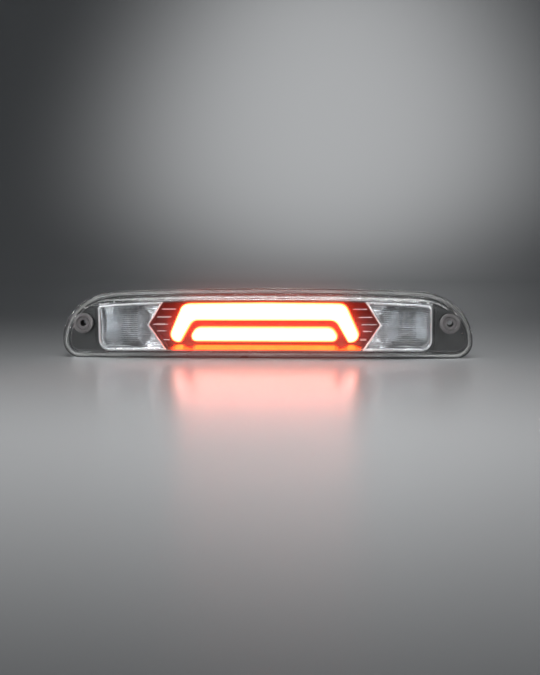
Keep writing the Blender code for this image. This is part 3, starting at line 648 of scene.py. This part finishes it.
def ray_length(outline, angle):
    """How far it is from the bulb's axis to an outline, at an angle."""
    direction = Vector((math.cos(angle), math.sin(angle)))
    centre = Vector((BULB_X, BULB_Z))
    nearest = math.inf
    for k, (x, z) in enumerate(outline):
        a = Vector(outline[k - 1]) - centre
        edge = Vector((x, z)) - centre - a
        cross = direction.x * edge.y - direction.y * edge.x
        if abs(cross) < 1e-9:
            continue
        reach = (a.x * edge.y - a.y * edge.x) / cross
        along = (a.x * direction.y - a.y * direction.x) / cross
        if reach > 0 and -1e-6 <= along <= 1 + 1e-6:
            nearest = min(nearest, reach)
    return nearest


def reflectors():
    """Parabolic bowls, each with an apron at its mouth out to the window's outline."""
    back, mouth = BOWL_HIGH[1], BOWL_LOW[1]
    wall, hole_r, mouth_r = 1.4, 9.5, 30.0
    outline = rounded(moved_in(window_corners(), 1.9))
    segments, levels = 144, 22
    for name, side in SIDES.items():
        loop = []
        for thick, order in ((0.0, range(levels)), (wall, range(levels - 1, -1, -1))):
            for j in order:
                depth = (j / (levels - 1)) ** 1.4
                y = back + (mouth - back) * depth
                bowl = math.sqrt(hole_r**2 + (mouth_r**2 - hole_r**2) * depth)
                ring = []
                for k in range(segments):
                    angle = 2 * math.pi * k / segments
                    edge = ray_length(outline, angle) - wall - 0.4
                    reach = (edge if j == levels - 1 else min(bowl, edge)) + thick
                    x = side * (BULB_X + reach * math.cos(angle))
                    ring.append((x, y, BULB_Z + reach * math.sin(angle)))
                loop.append(ring)
        bm = bmesh.new()
        skin(bm, loop, closed=True)
        piece = finish_mesh(bm, f"{name}_bowl", "housing", [f"{name}_cargo_reflector"], 50)
        paint(piece, "bowl")


def bulbs():
    """Clear wedge bulbs with a filament on two posts."""
    tip, base = BULB_LOW[1], 14.0
    radius, inner_r = 7.5, 6.8
    for name, side in SIDES.items():
        x = side * BULB_X
        body = f"{name}_socket"
        profile = [(0.05, tip)]
        for k in range(1, 13):
            angle = math.pi / 2 * k / 12
            profile.append((radius * math.sin(angle), tip + radius * (1 - math.cos(angle))))
        profile += [(radius, 6.0), (7.2, 9.0), (6.2, 11.6), (5.5, base)]
        inner = [(4.6, base), (5.4, 11.2), (6.5, 8.8), (inner_r, 6.0)]
        for k in range(12, 0, -1):
            angle = math.pi / 2 * k / 12
            inner.append((inner_r * math.sin(angle), tip + radius - inner_r * math.cos(angle)))
        inner.append((0.05, tip + radius - inner_r))
        bm = bmesh.new()
        spun(bm, x, BULB_Z, profile + inner, 48, closed=False)
        envelope = finish_mesh(bm, f"{name}_bulb_envelope", body, [f"{name}_cargo_bulb"], 50)
        paint(envelope, "bulb_glass").visible_shadow = False
        bm = bmesh.new()
        corners = [(x - 5.4, 2.3, 0.8), (x + 5.4, 2.3, 0.8), (x + 5.4, -2.3, 0.8), (x - 5.4, -2.3, 0.8)]
        outline = [(px, pz + BULB_Z) for px, pz in rounded(corners, 4)]
        layered(bm, [(outline, 13.0), (outline, 23.7)], closed=False)
        wedge = finish_mesh(bm, f"{name}_bulb_wedge", body)
        paint(wedge, "bulb_glass").visible_shadow = False
        filament(name, x, body)


def filament(name, x, body):
    """Two bent posts and a fine coil between them."""
    half, coil_y, coil_r = 3.0, -4.6, 0.45
    bm = bmesh.new()
    for sign in (-1, 1):
        spots = ((2.0, 13.5), (2.2, 2.0), (half, coil_y))
        wire(bm, [(x + sign * out, y, BULB_Z) for out, y in spots], 0.3)
    turns = 14
    steps = turns * 8
    coil = []
    for k in range(steps + 1):
        share = k / steps
        angle = 2 * math.pi * turns * share
        across = x - half + 2 * half * share
        coil.append((across, coil_y + coil_r * math.cos(angle), BULB_Z + coil_r * math.sin(angle)))
    wire(bm, coil, 0.13, sides=5)
    paint(finish_mesh(bm, f"{name}_filament", body, degrees=60), "steel")


def wire(bm, route, radius, sides=8):
    """A round tube along points, capped at both ends."""
    spots = [Vector(p) for p in route]
    rings = []
    for k, spot in enumerate(spots):
        along = (spots[min(k + 1, len(spots) - 1)] - spots[max(k - 1, 0)]).normalized()
        across = along.cross(Vector((0.31, 0.2, 0.93))).normalized()
        up = across.cross(along)
        turns = [2 * math.pi * j / sides for j in range(sides)]
        rings.append([spot + (across * math.cos(t) + up * math.sin(t)) * radius for t in turns])
    capped(bm, rings)


# ---------------------------------------------------------------- light guides, fins and tray


def outer_guide_corners():
    """The arch with two legs that slant outwards."""
    return [
        (-81.3, 21.4, 10.0),
        (0, 22.2, 0.0),
        (81.3, 21.4, 10.0),
        (98.6, -18.5, 8.0),
        (83.6, -18.5, 2.5),
        (71.3, 3.6, 9.0),
        (-71.3, 3.6, 9.0),
        (-83.6, -18.5, 2.5),
        (-98.6, -18.5, 8.0),
    ]


def inner_guide_corners():
    """The bar with slanted ends under the arch."""
    return [(-68.5, -2.5, 9.0), (68.5, -2.5, 9.0), (77.3, -17.8, 5.5), (-77.3, -17.8, 5.5)]


def light_guides():
    """Frosted guides: a white-hot face, an amber rounded edge and red flanks."""
    front, back = GUIDE_LOW[1], GUIDE_HIGH[1]
    profile = [(0.0, back), (0.0, front + 2.0), (0.2, front + 1.3), (0.7, front + 0.6)]
    profile += [(1.4, front + 0.2), (2.2, front)]
    core, yolk, fringe, flank, underside = range(5)
    by_level = (flank, fringe, fringe, yolk, yolk)
    for name, corners in (("outer", outer_guide_corners()), ("inner", inner_guide_corners())):
        bm = bmesh.new()
        made = layered(bm, [(rounded(moved_in(corners, inset), 14), y) for inset, y in profile], closed=False)
        bm.faces.ensure_lookup_table()
        count = len(made[0])
        for number, face in enumerate(bm.faces):
            level = number // count
            face.material_index = by_level[min(level, 4)]
            if level == 0 and face.calc_center_median().z < BOTTOM_Z / 2 + 1:
                face.material_index = underside
        bm.faces[-2].material_index = flank
        bm.faces[-1].material_index = core
        replaced = [f"{name}_light_guide"]
        piece = finish_mesh(bm, f"{name}_guide_moulding", "housing", replaced, 40)
        paint(piece, "core", "yolk", "fringe", "flank", "underside")


FIN_HEIGHTS = (15.2, 7.1, -0.3, -7.1, -16.0)
FIN_INNER_ENDS = (88.9, 94.0, 97.0, 98.5, 95.4)


def chevron_x(z, margin):
    """Where the chevron's edge is at a height, less a margin measured along X."""
    end = CHEVRON_TOP if z > CHEVRON_TIP[1] else CHEVRON_BOTTOM
    share = (z - CHEVRON_TIP[1]) / (end[1] - CHEVRON_TIP[1])
    return CHEVRON_TIP[0] + (end[0] - CHEVRON_TIP[0]) * share - margin


def fins():
    """Bright blades with rounded front edges, each standing off the chevron on its own."""
    front, back = -25.6, PANEL_FRONT - 0.1
    half = 0.45
    nose = [math.pi * k / 8 for k in range(1, 8)]
    for name, side in SIDES.items():
        bm = bmesh.new()
        for z, inner in zip(FIN_HEIGHTS, FIN_INNER_ENDS):
            outer = chevron_x(z, 2.6)
            section = [(back, z - half), (front + half, z - half)]
            section += [(front + half - half * math.sin(a), z - half * math.cos(a)) for a in nose]
            section += [(front + half, z + half), (back, z + half)]
            capped(bm, [[(side * x, y, zz) for y, zz in section] for x in (inner, outer)])
        piece = finish_mesh(bm, f"{name}_fins", "housing", [f"{name}_fin_comb"], 40)
        paint(piece, "fin")


def tray():
    """The red panel behind the guides, its mirror shelf under them and the walls up to the chevrons."""

    def reach(z):
        return chevron_x(z, 0.9)

    thick = 1.1
    edge = [(CHEVRON_TOP[0] - 0.4, 22.2), (reach(CHEVRON_TIP[1]), CHEVRON_TIP[1]), (reach(-21.2), -21.2)]
    outline = [(-x, z) for x, z in reversed(edge)] + edge
    bm = bmesh.new()
    layered(bm, [(outline, PANEL_FRONT), (outline, PANEL_BACK)], closed=False)
    for side in SIDES.values():
        for (x0, z0), (x1, z1) in ((edge[0], edge[1]), (edge[1], (reach(-24.2), -24.2))):
            wall = [(x0, z0), (x1, z1), (x1 - thick, z1), (x0 - thick, z0)]
            layered(bm, [(mirrored(wall, side), -26.2), (mirrored(wall, side), -17.0)], closed=False)
    paint(finish_mesh(bm, "red_panel", "housing", ["light_bar_tray"]), "tray")
    bm = bmesh.new()
    section = [(SHELF_FRONT, -26.1), (SHELF_FRONT + 0.1, -25.6), (SHELF_FRONT + 0.4, -25.4), (-18.2, -20.3)]
    section += [(-16.4, -20.2), (-16.4, -21.6), (-24.7, -24.6), (-24.7, -26.1)]
    capped(bm, [[(side * reach(z), y, z) for y, z in section] for side in (-1, 1)])
    paint(finish_mesh(bm, "mirror_shelf", "housing"), "shelf")


# ---------------------------------------------------------------- skirt


def skirt_top(x):
    """The skirt's upper edge: the lamp's own bow, falling away faster at the ends."""
    return TOP_Z - SKIRT_BOW * x**2 - SKIRT_END_FALL * x**4


def skirt_ring(inset, wall):
    """The skirt's outline at an inset, brought in by a wall's thickness, clockwise from the top left."""
    end_x = SKIRT_X - max(0.0, inset - 9.0) * 0.1 - wall
    foot = [(end_x, SKIRT_FOOT_Z + wall, 9.3 - wall), (157.2 - wall, SKIRT_FOOT_Z + wall, 0.0)]
    foot += [(156.8 - wall, BOTTOM_Z + inset + wall, 0.0)]
    steps = 48
    top = []
    for k in range(2 * steps + 1):
        x = end_x * (k / steps - 1)
        top.append((x, skirt_top(x) - inset - wall, 0.0))
    return rounded(top + foot + [(-x, z, radius) for x, z, radius in reversed(foot)])


def skirt():
    """A bright lining for the lens's slope, round the panel and both windows."""
    layers = [(9.0, -11.0), (9.2, -14.0), (10.1, -24.0)]
    bm = bmesh.new()
    rings = [(skirt_ring(inset, 0.0), y) for inset, y in layers]
    rings += [(skirt_ring(inset, SKIRT_WALL), y) for inset, y in layers[::-1]]
    layered(bm, rings)
    paint(finish_mesh(bm, "metallised_skirt", "housing", ["inner_bezel"]), "bezel")


# ---------------------------------------------------------------- screw points


def screw_points():
    """Rubber grommets with rounded edges and the coated sleeves in them, their bores painted black as shade.
    """
    front, back = GROMMET_LOW[1], GROMMET_HIGH[1]
    outer_r = GROMMET_HIGH[0] - SCREW_X
    neck_r, bore_r = 6.2, 4.9
    flange = -16.6
    for name, side in SIDES.items():
        x = side * SCREW_X
        rubber = [(6.5, front + 0.3), (6.8, front + 0.05), (7.2, front), (8.8, front + 0.02)]
        rubber += [(9.0, front + 0.14), (9.2, front + 0.04), (outer_r - 0.5, front + 0.1)]
        rubber += [(outer_r - 0.12, front + 0.35)]
        rubber += [(outer_r, front + 0.8), (outer_r, flange - 0.5), (outer_r - 0.4, flange), (neck_r, flange)]
        rubber += [(neck_r, back), (bore_r, back), (bore_r, -17.6), (6.5, -17.6)]
        bm = bmesh.new()
        spun(bm, x, 0, rubber, 96)
        piece = finish_mesh(bm, f"{name}_grommet", "housing", [f"{name}_screw_grommet"], 35)
        paint(piece, "grommet")
        seat, hole_r = SLEEVE_FRONT, 3.1
        tube = [(hole_r, seat + 0.5), (3.3, seat + 0.15), (3.7, seat), (5.9, seat), (6.2, seat + 0.3)]
        tube += [(6.2, -17.9), (4.6, -17.9), (4.6, -0.3), (4.3, 0.0), (3.4, 0.0), (hole_r, -0.3)]
        bm = bmesh.new()
        spun(bm, x, 0, tube, 96)
        # The bore's wall takes the near-black foam finish instead of the sleeve's coating: painted shade down
        # the hole.
        for face in bm.faces:
            middle = face.calc_center_median()
            face.material_index = int(math.hypot(middle.x - x, middle.z) < hole_r + 0.05)
        piece = finish_mesh(bm, f"{name}_sleeve", "housing", [f"{name}_screw_sleeve"], 35)
        paint(piece, "sleeve", "gasket")


# ---------------------------------------------------------------- stage, lights and camera


def stage_material(name, colour, roughness):
    """An even, plain surface for the floor and backdrop."""
    material, _, shader = shader_material(name, Roughness=roughness)
    shader.inputs["Base Color"].default_value = (*colour, 1)
    return material


def build_stage():
    """A pale floor that sweeps up into a backdrop."""
    floor_z = cad_box[0][2] / MM - 0.02
    front, bend_start, bend_r, half_width, top = -1800.0, 900.0, 500.0, 3000, 2600.0
    profile = [(front, 0.0), (bend_start, 0.0)]
    for k in range(1, 17):
        angle = math.pi / 2 * k / 16
        profile.append((bend_start + bend_r * math.sin(angle), bend_r - bend_r * math.cos(angle)))
    profile += [(bend_start + bend_r, top)]
    bm = bmesh.new()
    strips = [[bm.verts.new((x, y, z + floor_z)) for y, z in profile] for x in (-half_width, half_width)]
    for k in range(len(profile) - 1):
        bm.faces.new((strips[0][k], strips[0][k + 1], strips[1][k + 1], strips[1][k]))
    piece = finish_mesh(bm, "studio_sweep", None, degrees=60)
    piece.data.materials.append(stage_material("pale_sweep", (0.6, 0.61, 0.62), 0.26))
    return piece


def placed_light(name, data, place, target):
    """A light at a place, turned towards a target."""
    light = bpy.data.objects.new(name, data)
    bpy.context.scene.collection.objects.link(light)
    light.location = place
    light.rotation_euler = (Vector(target) - Vector(place)).to_track_quat("-Z", "Y").to_euler()
    return light


def area_light(name, place, target, size, power, spread=180):
    """A soft rectangular light that the camera doesn't see, spreading over an angle in degrees."""
    data = bpy.data.lights.new(name, "AREA")
    data.shape = "RECTANGLE"
    data.size, data.size_y = size
    data.energy = power
    data.spread = math.radians(spread)
    light = placed_light(name, data, place, target)
    light.visible_camera = False
    return light


def spot_light(name, place, target, angle, power):
    """A soft-edged pool of light that leaves no reflection of its own."""
    data = bpy.data.lights.new(name, "SPOT")
    data.energy = power
    data.spot_size = math.radians(angle)
    data.spot_blend = 1.0
    data.shadow_soft_size = 0.15
    light = placed_light(name, data, place, target)
    light.visible_glossy = False
    return light


def build_lights(floor):
    """Soft lights over the floor, and narrower ones that light the lamp alone."""
    area_light("top_strip", (0.0, -0.5, 1.0), (0, -0.42, 0), (1.2, 0.06), 1.9, 74)
    area_light("front_softbox", (0.0, -1.4, 1.1), (0, -0.1, 0), (1.0, 0.3), 0.45, 60)
    spot_light("backdrop_pool", (0.0, 0.35, 1.0), (0, 1.35, 0.22), 46, 40)
    lamp = (0, 0, 0)
    accents = [area_light("back_strip", (0.0, 0.85, 0.62), lamp, (1.2, 0.08), 0.2, 32)]
    for name, side in SIDES.items():
        window = (side * 0.14, 0, 0)
        accents.append(area_light(f"{name}_key", (side * 0.6, -1.2, 0.4), window, (0.3, 0.3), 1.6))
        accents.append(area_light(f"{name}_strip", (side * 0.9, -0.6, 0.25), lamp, (0.06, 0.9), 1.5, 50))
        accents.append(area_light(f"{name}_rear_strip", (side * 0.8, 0.8, 0.4), lamp, (0.06, 0.6), 0.35, 50))
    lamp_only = bpy.data.collections.new("lamp_only")
    lamp_only.objects.link(floor)
    lamp_only.collection_objects[0].light_linking.link_state = "EXCLUDE"
    for accent in accents:
        accent.light_linking.receiver_collection = lamp_only
    world = bpy.data.worlds.new("studio")
    bpy.context.scene.world = world
    world.use_nodes = True
    background = world.node_tree.nodes["Background"]
    background.inputs["Color"].default_value = (0.9, 0.95, 1.0, 1)
    background.inputs["Strength"].default_value = 0.06


def build_camera():
    """The photograph's viewing angle: a little to the lamp's right and above it, rolled level."""
    azimuth, elevation, roll, distance = 5.0, 7.0, 0.45, 1.5
    aim = Vector((0.0036, 0.0, -0.0165))
    data = bpy.data.cameras.new("camera")
    data.lens = 78.8
    data.sensor_width = 36.0
    data.clip_end = 30.0
    camera = bpy.data.objects.new("camera", data)
    bpy.context.scene.collection.objects.link(camera)
    turn, rise = math.radians(azimuth), math.radians(elevation)
    away = Vector((math.sin(turn) * math.cos(rise), -math.cos(turn) * math.cos(rise), math.sin(rise)))
    camera.location = aim + away * distance
    upright = (-away).to_track_quat("-Z", "Y").to_matrix()
    camera.rotation_euler = (upright @ Matrix.Rotation(math.radians(-roll), 3, "Z")).to_euler()
    bpy.context.scene.camera = camera


def render_settings():
    """Bounces enough for the clear parts, and a small red glow round the lit bars."""
    scene = bpy.context.scene
    scene.view_settings.view_transform = "Standard"
    scene.view_settings.exposure = 0.0
    scene.cycles.max_bounces = 24
    scene.cycles.transmission_bounces = 20
    scene.cycles.glossy_bounces = 12
    scene.cycles.transparent_max_bounces = 16
    scene.use_nodes = True
    nodes = scene.node_tree.nodes
    nodes.clear()
    layers = nodes.new("CompositorNodeRLayers")
    glare = nodes.new("CompositorNodeGlare")
    glare.glare_type = "FOG_GLOW"
    glare.inputs["Threshold"].default_value = 1.4
    glare.inputs["Strength"].default_value = 1.0
    glare.inputs["Tint"].default_value = (1.0, 0.3, 0.14, 1)
    glare.inputs["Size"].default_value = 0.3
    output = nodes.new("CompositorNodeComposite")
    scene.node_tree.links.new(layers.outputs["Image"], glare.inputs["Image"])
    scene.node_tree.links.new(glare.outputs["Image"], output.inputs["Image"])


paint_carried_nodes()
outer_lens()
window_frames()
cargo_lenses()
reflectors()
bulbs()
light_guides()
fins()
tray()
skirt()
screw_points()
build_lights(build_stage())
build_camera()
render_settings()
